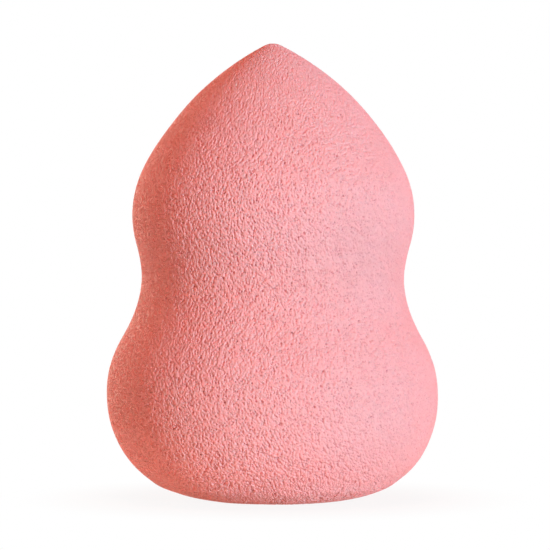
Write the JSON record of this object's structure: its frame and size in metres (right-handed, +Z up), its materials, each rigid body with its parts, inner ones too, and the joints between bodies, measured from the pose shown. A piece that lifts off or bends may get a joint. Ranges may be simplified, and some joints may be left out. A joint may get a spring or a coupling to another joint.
{
  "type": "makeup sponge",
  "caption": "Gourd-shaped makeup sponge of soft pink open-cell foam: a broad lower bulb, a waist for the fingers, and a smaller upper bulb that rises to a blunt tip.",
  "frame": {"origin": "centre of the flat face that the sponge rests on", "axes": "+Z up along the sponge's own round axis, towards the tip; X and Y are free, because the sponge is round"},
  "size_m": [0.0438, 0.0438, 0.06],
  "materials": {
    "foam": "matte open-cell polyurethane foam, soft skin with fine pores"
  },
  "bodies": {
    "root": {"foam_body": "foam"}
  },
  "joints": []
}
